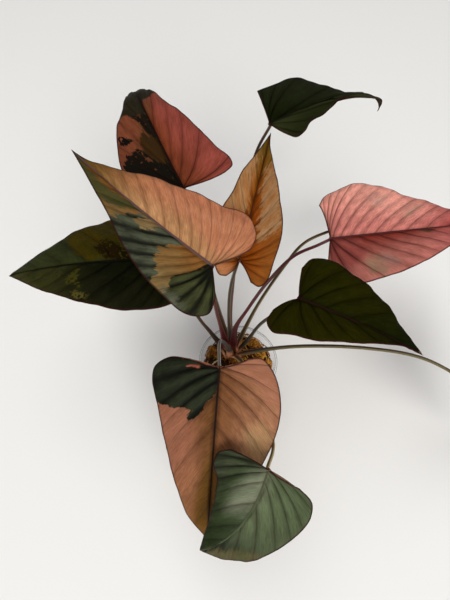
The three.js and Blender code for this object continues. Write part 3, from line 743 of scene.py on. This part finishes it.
# Blades
class BladeSurface:
    """A flat heart laid along a bent, twisted midrib."""

    def __init__(self, leaf):
        self.leaf = leaf
        self.attach = np.array(leaf["attach"], float)
        chord = np.array(leaf["tip"], float) - self.attach
        self.length = np.linalg.norm(chord)
        self.along = unit(chord)
        level = unit(np.cross(self.along, (0, 0, 1)))
        roll = math.radians(leaf.get("roll", 0))
        self.across = level * math.cos(roll) + np.cross(level, self.along) * math.sin(roll)
        self.up = np.cross(self.across, self.along)
        lift = leaf.get("bow", 0) * 4 / 3
        handles = leaf.get("arch", ((self.length / 3, lift), (self.length * 2 / 3, lift)))
        self.midrib = np.array([(0, 0), *handles, (self.length, 0)], float)

    def centre(self, along):
        t = np.clip(along / self.length, 0, 1)
        return self.leaf.get("sweep", 0) * 4 * t * (1 - t)

    def points(self, along, offset, side, lift):
        """Places at (along the midrib, right of it), raised by lift from the smooth surface."""
        share = along / self.length
        t = np.clip(share, 0, 1)[..., None]
        p0, p1, p2, p3 = self.midrib
        spot = (1 - t) ** 3 * p0 + 3 * (1 - t) ** 2 * t * p1 + 3 * (1 - t) * t * t * p2 + t ** 3 * p3
        slope = 3 * ((1 - t) ** 2 * (p1 - p0) + 2 * (1 - t) * t * (p2 - p1) + t * t * (p3 - p2))
        spot = spot + slope * (share[..., None] - t)
        slope = slope / np.linalg.norm(slope, axis=-1, keepdims=True)
        rise = self.up * slope[..., :1] - self.along * slope[..., 1:]
        twist = math.radians(self.leaf.get("twist", 0)) * t ** TWIST_POWER
        across = self.across * np.cos(twist) + rise * np.sin(twist)
        up = rise * np.cos(twist) - self.across * np.sin(twist)
        droop = np.where(side > 0, self.leaf["right"]["droop"], self.leaf["left"]["droop"])
        drop = droop * (np.abs(offset - self.centre(along)) / self.leaf["width"]) ** 2
        place = self.attach + self.along * spot[..., :1] + self.up * spot[..., 1:]
        return place + across * offset[..., None] + up * (lift - drop)[..., None]

    def flat_grid(self, side, shares):
        """Flat places of one half, rows from the notch to the tip, each along a vein to the edge."""
        part = self.leaf["right" if side > 0 else "left"]
        edge = evenly(catmull_rom([*part["rim"], (self.length, 0)]), BLADE_ROWS + 1)
        w = np.linspace(0, 1, BLADE_ROWS + 1)
        start = np.clip((w - FAN_SHARE) / (1 - FAN_SHARE), 0, 1) ** STATION_POWER * self.length
        start = np.stack([start, side * self.centre(start)], -1)
        reach = np.linalg.norm(edge - start, axis=1)
        bend = (start + edge) / 2
        bend[:, 0] -= VEIN_ARCH * reach
        notch = 2 * np.array(part["sinus"], float) - edge[0] / 2
        blend = np.clip(1 - w / SINUS_REACH, 0, 1)[:, None] ** 2
        bend = bend * (1 - blend) + (notch + (edge - edge[0]) / 2) * blend
        t = shares[None, :, None]
        grid = (1 - t) ** 2 * start[:, None] + 2 * t * (1 - t) * bend[:, None] + t * t * edge[:, None]
        grid[..., 1] *= side
        return grid


def blade_layout(surface):
    """Numbers and flat places of a blade's points: for each half, the ids of its grid, the grid, and the
    share along the edge (w) and along the vein (t). Both halves share the points of the midrib."""
    shares = np.linspace(0, 1, BLADE_COLUMNS + 1) ** COLUMN_POWER
    rows = np.linspace(0, 1, BLADE_ROWS + 1)
    t, w = np.meshgrid(shares, rows)
    mid = np.cumsum(rows > FAN_SHARE)
    count = mid[-1] + 1
    layout = []
    for side in (RIGHT, LEFT):
        own = np.zeros((BLADE_ROWS + 1, BLADE_COLUMNS + 1), int)
        own[:, 0] = mid
        own[:-1, 1:] = count + np.arange(BLADE_ROWS * BLADE_COLUMNS).reshape(BLADE_ROWS, BLADE_COLUMNS)
        own[-1, :] = mid[-1]
        count += BLADE_ROWS * BLADE_COLUMNS
        layout.append((side, own, surface.flat_grid(side, shares), w, t))
    return layout, count


def blade_faces(layout):
    faces = []
    for side, own, *_ in layout:
        for i in range(BLADE_ROWS):
            for c in range(BLADE_COLUMNS):
                quad = (own[i, c], own[i, c + 1], own[i + 1, c + 1], own[i + 1, c])
                face = tuple(dict.fromkeys(int(k) for k in quad))
                if len(face) > 2:
                    faces.append(face if side > 0 else face[::-1])
    return faces


def blade_relief(surface, spot, seed):
    """How far the blade stands off its smooth surface: pleats between the veins, waves and the midrib."""
    length, along, offset, edge = surface.length, spot["along"], spot["offset"], spot["edge"]
    ends = np.sin(math.pi * np.minimum(1, spot["w"] * 1.02))
    turns = 2 * math.pi * spot["w"]
    body = smooth_step(spot["t"], 0.01, 0.16) * smooth_step(edge, -1, 8)
    body = body * smooth_step(along, length, length * 0.8)
    ripple = np.sin(along * 0.31 + seed) * np.sin(offset * 0.27 + 2 * seed)
    swell = np.sin(along * 0.085 + 2.1 * seed) * np.sin(offset * 0.075 + seed)
    lift = (spot["crest"] - 0.4) * PLEAT * body + (RIPPLE * ripple + SWELL * swell) * body
    lift += EDGE_WAVE * np.sin(EDGE_WAVES * turns) * spot["t"] ** 2 * ends
    lift += RUFFLE * np.sin(RUFFLES * turns + seed) * smooth_step(edge, 7, 0) * ends
    lift += bell(spot["rib"], *MIDRIB) - bell(spot["rib"], *TROUGH)
    return lift - EDGE_TURN * smooth_step(edge, 1.6, 0)


def make_blade(name, leaf, look, seed):
    surface = BladeSurface(leaf)
    length = surface.length
    layout, count = blade_layout(surface)
    keys = ("along", "offset", "side", "w", "t", "phase", "spacing", "run")
    spot = {key: np.zeros(count) for key in keys}
    for side, own, grid, w, t in layout:
        veins = leaf["veins"][0 if side > 0 else 1]
        gap = np.linalg.norm(np.gradient(grid, axis=0), axis=-1) * BLADE_ROWS / veins
        run = np.linalg.norm(grid - grid[:, :1], axis=-1)
        phase = w * veins + VEIN_WANDER * np.sin(w * 11 + seed)
        for key, value in zip(keys, (grid[..., 0], grid[..., 1], side, w, t, phase, gap, run)):
            spot[key][own] = value
    along = spot["along"]
    narrowing = 1 - MIDRIB_NARROWING * np.clip(along / length, 0, 1)
    flat = np.column_stack([along, spot["offset"]])
    spot["rib"] = np.abs(spot["offset"] - surface.centre(along)) / narrowing
    to_vein = np.abs(spot["phase"] - np.round(spot["phase"]))
    spot["vein"] = to_vein * np.maximum(spot["spacing"], 0.3)
    crest = np.sin(math.pi * to_vein) ** 0.55 * np.minimum(1, spot["spacing"] / FULL_SPACING)
    fading = 0.6 * smooth_step(along, 0.3 * length, 0.85 * length)
    fading = np.maximum(fading, 0.45 * smooth_step(spot["t"], 0.45, 0.95))
    spot["crest"] = crest + (0.6 - crest) * fading
    edges = [np.array([*grid[0], *grid[1:, -1]]) for _, _, grid, _, _ in layout]
    spot["edge"] = np.minimum(*(distance_to_line(flat, edge) for edge in edges))

    lift = blade_relief(surface, spot, seed)
    middle = surface.points(along, spot["offset"], spot["side"], lift)
    faces = blade_faces(layout)
    normals = point_normals(middle, faces)
    thickness = EDGE_THICKNESS + (BLADE_THICKNESS - EDGE_THICKNESS) * smooth_step(spot["edge"], 0, 5)
    keel = narrowing * bell(spot["rib"], *KEEL) * smooth_step(along, length, length * 0.9)
    keel += bell(spot["vein"], *VEIN_KEEL) * smooth_step(spot["edge"], 0, 8)
    upper = middle + normals * thickness[:, None] / 2
    lower = middle - normals * (thickness / 2 + keel)[:, None]
    right_edge, left_edge = ([*own[0], *own[1:, -1]] for _, own, *_ in layout)
    loop = [int(k) for k in [*right_edge, *left_edge[1:-1][::-1]]]
    skin = faces + [tuple(k + count for k in face[::-1]) for face in faces]
    skin += [(a, a + count, b + count, b) for a, b in zip(loop, loop[1:] + loop[:1])]

    values = {key: spot[key] for key in ("side", "rib", "edge", "vein", "crest")}
    values["along"] = along / length
    values["outward"] = spot["t"]
    for i, field in enumerate(look["patches"]):
        values[f"patch_{i}"] = inside_distance(flat, field["outline"])
    values["flat"] = np.column_stack([flat, np.full(count, seed * 17.0)])
    values["grain"] = np.column_stack([spot["run"], spot["w"] * 70, seed * 9.0 + spot["side"] * 3])
    values = {key: np.concatenate([value, value]) for key, value in values.items()}
    values["under"] = np.repeat([0.0, 1.0], count)
    name = "blade_" + name
    make_piece(name, np.vstack([upper, lower]), skin, blade_material(name, look), name, **values)


# Petioles
def petiole_material(name, look):
    n = Nodes(bpy.data.materials.new(name))
    run = n.value("run", vector=True)
    share = n.value("share")
    groove = n.value("groove")
    lines = n.noise(run, (0.02, 2.2, 1.0))
    spots = n.noise(run, (0.25, 1.4, 1.0), detail=4, roughness=0.7)
    colour = n.mix(n.ramp(share, 0.06, look["fade"]), srgb(*look["foot"]), srgb(*look["upper"]))
    colour = n.mix(n.ramp(lines, 0.45, 0.65, 0.0, 0.6), colour, srgb(*look["streak"]))
    colour = n.mix(n.ramp(n.value("rise"), 46, 33, 0.0, 0.94), colour, srgb(*TAN_FOOT))
    colour = n.shade(colour, n.ramp(spots, 0.4, 0.75), (1.08, 1.08, 1.08), (0.62, 0.56, 0.52))
    lips = n.times(n.ramp(groove, 0.12, 0.3, 0.0, look["lips"]), n.ramp(share, 0.34, 0.48))
    colour = n.mix(lips, colour, srgb(*GROOVE_LIPS))
    colour = n.mix(n.ramp(groove, 0.35, 0.6, 0.0, 0.8), colour, srgb(*look["inside"]))
    return n.finish(n.surface(colour, 0.4, 0.2, Normal=n.bump(lines, 0.3, 0.0005)))


def stalk(foot, upper, streak, **given):
    """A petiole's look: colours at the foot, higher up, in streaks and in the groove (inside), how far the
    sheath's wings stand out, where the foot's colour ends (fade), how pale the groove's lips are, and the
    azimuth that the groove faces where that isn't the crown's middle."""
    return {"foot": foot, "upper": upper, "streak": streak, "inside": (40, 24, 18), "sheath": 0.3,
            "fade": 0.5, "lips": 0.0, "faces": None, **given}


PETIOLE_LOOKS = {
    "back_pink": stalk((128, 66, 52), (84, 76, 56), (100, 92, 70), sheath=0.9, faces=-90),
    "upper_salmon": stalk((132, 26, 36), (88, 56, 46), (78, 46, 36), inside=(60, 14, 14), sheath=1.3,
                          faces=-60),
    "left_dark": stalk((92, 52, 32), (54, 52, 34), (74, 64, 42), inside=(60, 28, 20), sheath=1.0,
                       fade=0.3, faces=-40),
    "centre_amber": stalk((122, 42, 38), (88, 82, 66), (104, 80, 60), sheath=0.8, fade=0.3, faces=-90),
    "top_dark": stalk((140, 80, 62), (68, 66, 54), (128, 74, 60), sheath=0.4, faces=-90),
    "right_pink": stalk((140, 36, 42), (62, 38, 32), (86, 34, 32), inside=(76, 20, 24), sheath=1.5,
                        fade=0.3, faces=-110),
    "right_dark": stalk((134, 96, 64), (62, 58, 42), (82, 74, 52), sheath=0.5, fade=0.25),
    "front_pink": stalk((128, 70, 52), (80, 74, 68), (104, 92, 82), inside=(26, 22, 18), sheath=1.0,
                        fade=0.3, lips=0.9, faces=90),
    "front_green": stalk((160, 106, 76), (168, 150, 96), (176, 160, 108)),
    "side_green": stalk((150, 108, 68), (84, 76, 48), (104, 92, 58), sheath=0.5, fade=0.25),
    "behind_pink": stalk((146, 110, 70), (108, 94, 58), (126, 110, 70), fade=0.25),
}


def petiole_line(leaf):
    azimuth = math.radians(leaf["azimuth"])
    ring = leaf["ring"] * FOOT_GATHER
    x = CROWN[0] + ring * math.cos(azimuth)
    y = CROWN[1] + ring * math.sin(azimuth)
    end = BladeSurface(leaf).points(*np.array([[NOTCH_REACH], [0.0], [RIGHT], [-NOTCH_SINK]]))[0]
    stem = [(x, y, PETIOLE_FOOT), (x, y, PETIOLE_EXIT), *leaf["via"], end]
    return evenly(catmull_rom(stem), PETIOLE_STEPS + 1)


def make_petiole(name, leaf, look):
    line = petiole_line(leaf)
    steps = len(line)
    tangents = headings(line)
    share = np.linspace(0, 1, steps)
    bearing = math.radians(leaf["azimuth"] + 180 if look["faces"] is None else look["faces"])
    face = np.array([math.cos(bearing), math.sin(bearing), 0.0])
    angles = around(PETIOLE_SIDES)
    from_face = (angles + math.pi) % (2 * math.pi) - math.pi
    sheath = smooth_step(lengths_along(line) + PETIOLE_FOOT, SHEATH_END, SHEATH_FULL)
    slim = smooth_step(share, 0.08, 0.45)
    radius = PETIOLE_BASE * (1 - slim) + (PETIOLE_MIDDLE + (PETIOLE_TOP - PETIOLE_MIDDLE) * share) * slim
    rings = []
    for i in range(steps):
        face = unit(face - tangents[i] * (face @ tangents[i]))
        wing = np.cross(tangents[i], face)
        dent = (0.3 + 0.4 * sheath[i]) * np.exp(-from_face ** 2 / 0.35)
        wide = 1 + look["sheath"] * sheath[i]
        inward = face * (np.cos(angles) * radius[i] * (1 - dent))[:, None]
        sideways = wing * (np.sin(angles) * radius[i] * wide * (1 - 0.3 * dent))[:, None]
        rings.append(line[i] + inward + sideways)
    run = np.repeat(lengths_along(line), PETIOLE_SIDES)
    turn = (np.tile(wave(angles) * GRAIN_REACH, steps) for wave in (np.sin, np.cos))
    name = "petiole_" + name
    make_piece(name, np.concatenate(rings), tube_faces(steps, PETIOLE_SIDES), petiole_material(name, look),
               "petiole", run=np.column_stack([run, *turn]), rise=run,
               share=np.repeat(share, PETIOLE_SIDES), groove=np.tile(np.exp(-from_face ** 2 / 0.5), steps))


# Cup
def cup_inner_radius(z):
    rise = (z - CUP_WALL) / (CUP_SHOULDER - CUP_WALL)
    return CUP_BASE_RADIUS + (CUP_SHOULDER_RADIUS - CUP_BASE_RADIUS) * rise - CUP_WALL


def cup_profile():
    """From the middle of the underside over a foot ring, the wall, the rolled lip and down inside."""
    base = CUP_BASE_RADIUS
    roll = CUP_LIP_HEIGHT / 2
    lip = [(CUP_LIP_RADIUS - roll + 0.8 * roll * math.sin(a), CUP_SHOULDER + roll - roll * math.cos(a))
           for a in np.radians(np.linspace(20, 300, 15))]
    inner = [(cup_inner_radius(z), z) for z in np.linspace(CUP_SHOULDER, 4, 30)]
    outer = [(base + (CUP_SHOULDER_RADIUS - base) * (z - 1) / (CUP_SHOULDER - 1), z)
             for z in np.linspace(3, CUP_SHOULDER - 1, 30)]
    foot = [(0, CUP_UNDERSIDE), (base - 4, CUP_UNDERSIDE), (base - 3, 0), (base - 1, 0), (base - 0.2, 0.6),
            (base, 1.4)]
    floor = [(base - 2, CUP_FLOOR + 0.4), (base - 4, CUP_FLOOR), (0, CUP_FLOOR)]
    return [*foot, *outer, *lip, *inner, *floor]


def make_cup():
    n = Nodes(bpy.data.materials.new("cup"))
    clear = n.add("ShaderNodeBsdfTransparent", Color=(0.985, 0.99, 0.99, 1))
    shine = n.surface((0.36, 0.38, 0.39, 1), 0.1, 0.6)
    facing = n.add("ShaderNodeLayerWeight", Blend=0.5).outputs["Facing"]
    rim = n.times(n.math("POWER", facing, 8.0), 0.8)
    share = n.math("ADD", rim, n.math("ADD", n.times(n.value("lip"), 0.75), 0.02))
    points, faces = turned(cup_profile(), CUP_SIDES)
    reach = np.hypot(points[:, 0], points[:, 1])
    # The lip's two lines are painted grey reflection, opaque and glossy on the clear plastic.
    line = np.maximum(smooth_step(reach, *LIP_REFLECTION), 0.5 * smooth_step(reach, *SHOULDER_REFLECTION))
    make_piece("cup", points, faces, n.finish(n.blend(share, clear, shine)), "cup",
               lip=line * (points[:, 2] > CUP_SHOULDER + 0.3))


# Moss
def moss_material():
    dark, middle, light = (srgb(*colour) for colour in MOSS_COLOURS)
    n = Nodes(bpy.data.materials.new("moss"))
    tone = n.value("tone")
    specks = n.noise(n.value("run", vector=True), (0.9, 0.9, 0.9), roughness=0.7)
    colour = n.mix(n.ramp(tone, 0.0, 0.45), dark, middle)
    colour = n.mix(n.ramp(tone, 0.45, 0.95), colour, light)
    colour = n.mix(n.ramp(specks, 0.42, 0.7, 0.0, 0.6), colour, srgb(*MOSS_SPECKS))
    colour = n.mix(n.ramp(tone, TONE_MOST + 0.02, TONE_ROOT - 0.01), colour, srgb(*ROOT_COLOUR))
    return n.finish(n.surface(colour, 0.7, 0.2, Normal=n.bump(specks, 0.6, 0.0008)))


def strand(line, radius, sides, phase):
    """A tapered thread with small leafy swellings along the line."""
    steps = len(line)
    tangents = headings(line)
    first = np.cross(tangents, (0.3, 0.2, 1.0))
    first /= np.maximum(np.linalg.norm(first, axis=1), 1e-9)[:, None]
    second = np.cross(tangents, first)
    share = np.linspace(0, 1, steps)
    swell = 0.65 + 0.35 * np.sin(share * 26 + phase)
    thick = radius * swell * np.sin(math.pi * np.clip(share * 0.92 + 0.06, 0, 1)) ** 0.6
    x, y = (wave(around(sides))[None, :, None] for wave in (np.cos, np.sin))
    ring = x * first[:, None] + y * second[:, None] * STRAND_FLATNESS
    points = line[:, None] + ring * thick[:, None, None]
    return points.reshape(-1, 3), tube_faces(steps, sides)


MOSS_RADIUS = cup_inner_radius(MOSS_EDGE) - MOSS_INSET


def mound_height(x, y):
    share = np.hypot(x, y) / MOSS_RADIUS
    bumps = 1.3 * np.sin(x * 0.32 + 1) * np.sin(y * 0.29 + 2) + 0.8 * np.sin(x * 0.71 + y * 0.5)
    return MOSS_EDGE + (MOSS_TOP - MOSS_EDGE) * (1 - np.clip(share, 0, 1) ** 2) + bumps


def mound_reach(angle):
    """The moss pulls away from the cup's wall at the back right."""
    return MOSS_RADIUS - MOSS_GAP * (1 + np.cos(angle - MOSS_GAP_ANGLE))


def top_strand(random, middle, lift):
    """A strand of a tuft, from its middle outwards, rising and falling again."""
    t = np.linspace(0, 1, 10)
    bearing = random.random() * 2 * math.pi + random.normal(0, 1.2) * t
    length = random.uniform(*TUFT_LENGTHS)
    start = random.normal(0, 1.0, 2)
    x = middle[0] + start[0] + np.cos(bearing) * t * length
    y = middle[1] + start[1] + np.sin(bearing) * t * length
    held = np.minimum(1, mound_reach(np.arctan2(y, x)) / np.maximum(np.hypot(x, y), 1e-6))
    hump = random.uniform(0.4, 3.2) * np.sin(math.pi * (0.25 + 0.75 * t)) - 2.5 * t * t
    return np.column_stack([x * held, y * held, mound_height(x * held, y * held) + lift + hump])


def wall_strand(random):
    """A strand against the inside of the cup's wall."""
    t = np.linspace(-0.5, 0.5, 12)
    z = random.uniform(5, MOSS_EDGE + 1)
    angle = random.random() * 2 * math.pi
    heading = random.normal(0, 0.9) + random.normal(0, 1.4) * t
    length = random.uniform(*WALL_LENGTHS)
    height = np.clip(z + np.sin(heading) * t * length, 4, MOSS_EDGE + 2)
    wall = cup_inner_radius(height) - 1.3
    turn = angle + np.cos(heading) * t * length / wall
    reach = wall - random.uniform(0, 1.5) - 1.5 * np.abs(t)
    return np.column_stack([reach * np.cos(turn), reach * np.sin(turn), height])


def make_moss():
    random = np.random.default_rng(MOSS_SEED)
    levels = [(0, 3.0)]
    levels += [(cup_inner_radius(z) - 2.5, z) for z in np.linspace(3, MOSS_EDGE - 5, 24)]
    levels += [((MOSS_RADIUS - 2) * s, MOSS_EDGE - 3 + 5 * (1 - s * s)) for s in np.linspace(0.97, 0.1, 12)]
    levels.append((0, MOSS_TOP - 4))
    # The mound, at tone 0, is painted shade where it shows between the tufts.
    pieces = [(*turned(levels, MOSS_SIDES), 0.0)]
    for _ in range(TUFTS):
        angle = random.random() * 2 * math.pi
        radius = mound_reach(angle) * math.sqrt(random.random())
        middle = (radius * math.cos(angle), radius * math.sin(angle))
        lift = random.uniform(*TUFT_LIFTS)
        tone = random.normal(*TUFT_TONES)
        for _ in range(TUFT_STRANDS):
            thick = random.uniform(*TUFT_RADII)
            line = top_strand(random, middle, lift)
            own = np.clip(tone + random.normal(*STRAND_TONES), 0, TONE_MOST)
            pieces.append((*strand(line, thick, STRAND_SIDES, random.random() * 6), own))
    for _ in range(WALL_STRANDS):
        thick = random.uniform(*WALL_RADII)
        own = np.clip(random.normal(*WALL_TONES), 0, TONE_MOST)
        pieces.append((*strand(wall_strand(random), thick, STRAND_SIDES, random.random() * 6), own))
    pieces.append((*strand(evenly(catmull_rom(PALE_ROOT), 12), PALE_ROOT_RADIUS, 8, 0), TONE_ROOT))
    points, faces, tones = [], [], []
    start = 0
    for piece_points, piece_faces, tone in pieces:
        points.append(piece_points)
        faces += [tuple(k + start for k in face) for face in piece_faces]
        tones.append(np.full(len(piece_points), tone))
        start += len(piece_points)
    points = np.vstack(points)
    make_piece("moss", points, faces, moss_material(), "moss", tone=np.concatenate(tones), run=points)


# Crown
def make_crown():
    profile = [(0, CROWN_BOTTOM), (CROWN_ROOT_RADIUS, CROWN_BOTTOM)]
    for z in np.linspace(CROWN_BOTTOM + 2, CROWN_TOP - 1, 26):
        share = (z - CROWN_BOTTOM) / (CROWN_TOP - CROWN_BOTTOM)
        radius = CROWN_ROOT_RADIUS + (CROWN_RADIUS - CROWN_ROOT_RADIUS) * min(1, share * 1.3)
        profile.append((radius - 0.5 + 0.5 * math.sin(z * 1.6), z))
    profile += [(CROWN_RADIUS * 0.9, CROWN_TOP), (0, CROWN_TOP)]
    points, faces = turned(profile, CROWN_SIDES)
    n = Nodes(bpy.data.materials.new("crown"))
    rings = n.noise(n.add("ShaderNodeTexCoord").outputs["Object"], (30, 30, 400))
    colour = n.mix(n.ramp(rings, 0.35, 0.65), *(srgb(*colour) for colour in CROWN_COLOURS))
    material = n.finish(n.surface(colour, 0.6, 0.5, Normal=n.bump(rings, 0.5, 0.001)))
    make_piece("crown", points + (*CROWN, 0), faces, material, "crown")


for number, (leaf_name, leaf) in enumerate(LEAVES.items()):
    make_blade(leaf_name, leaf, LOOKS[leaf_name], number + 1)
    make_petiole(leaf_name, leaf, PETIOLE_LOOKS[leaf_name])
make_cup()
make_moss()
make_crown()


# Floor, light and camera
def make_floor(reach, colour):
    mesh = bpy.data.meshes.new("floor")
    corners = [(-reach, -reach, 0), (reach, -reach, 0), (reach, reach, 0), (-reach, reach, 0)]
    mesh.from_pydata(corners, [], [(0, 1, 2, 3)])
    n = Nodes(bpy.data.materials.new("floor"))
    mesh.materials.append(n.finish(n.surface(colour, 0.8, 0.5)))
    floor = bpy.data.objects.new("floor", mesh)
    scene.collection.objects.link(floor)


def make_lamp(name, place, size, power, colour):
    """A round lamp, in metres, turned to the plant."""
    data = bpy.data.lights.new(name, "AREA")
    data.shape = "DISK"
    data.size = size
    data.energy = power
    data.color = colour
    lamp = bpy.data.objects.new(name, data)
    lamp.location = place
    direction = np.array(LAMP_TARGET) - np.array(place)
    yaw = math.atan2(direction[1], direction[0]) - math.pi / 2
    pitch = math.atan2(direction[2], math.hypot(direction[0], direction[1]))
    lamp.rotation_euler = (pitch + math.pi / 2, 0, yaw)
    scene.collection.objects.link(lamp)


def make_world(colour, heights, strengths):
    """A studio whose light changes with height, from the horizon up."""
    n = Nodes(bpy.data.worlds.new("studio"), "ShaderNodeOutputWorld")
    direction = n.add("ShaderNodeTexCoord").outputs["Generated"]
    height = n.add("ShaderNodeSeparateXYZ", Vector=direction).outputs["Z"]
    strength = n.add("ShaderNodeMapRange", Value=height, From_Min=heights[0], From_Max=heights[1],
                     To_Min=strengths[0], To_Max=strengths[1]).outputs["Result"]
    scene.world = n.finish(n.add("ShaderNodeBackground", Color=colour, Strength=strength))


make_floor(reach=8.0, colour=(0.755, 0.743, 0.715, 1))
make_lamp("window", (0.9, -5.2, 4.2), size=4.8, power=490, colour=(1.0, 0.99, 0.975))
make_lamp("ceiling", (-0.4, 0.6, 3.6), size=3.2, power=44, colour=(0.98, 0.99, 1.0))
make_world(colour=(0.95, 0.96, 1.0, 1), heights=(0.12, 0.5), strengths=(0.72, 0.28))
scene.view_settings.view_transform = "Standard"

camera_data = bpy.data.cameras.new("camera")
camera_data.sensor_fit = "VERTICAL"
camera_data.angle = 2 * math.atan(FRAME_HEIGHT / 2 / FOCAL_PIXELS)
camera = bpy.data.objects.new("camera", camera_data)
camera.location = [value * MM for value in CAMERA_PLACE]
camera.rotation_euler = (math.radians(90 - CAMERA_PITCH), 0, 0)
scene.collection.objects.link(camera)
scene.camera = camera
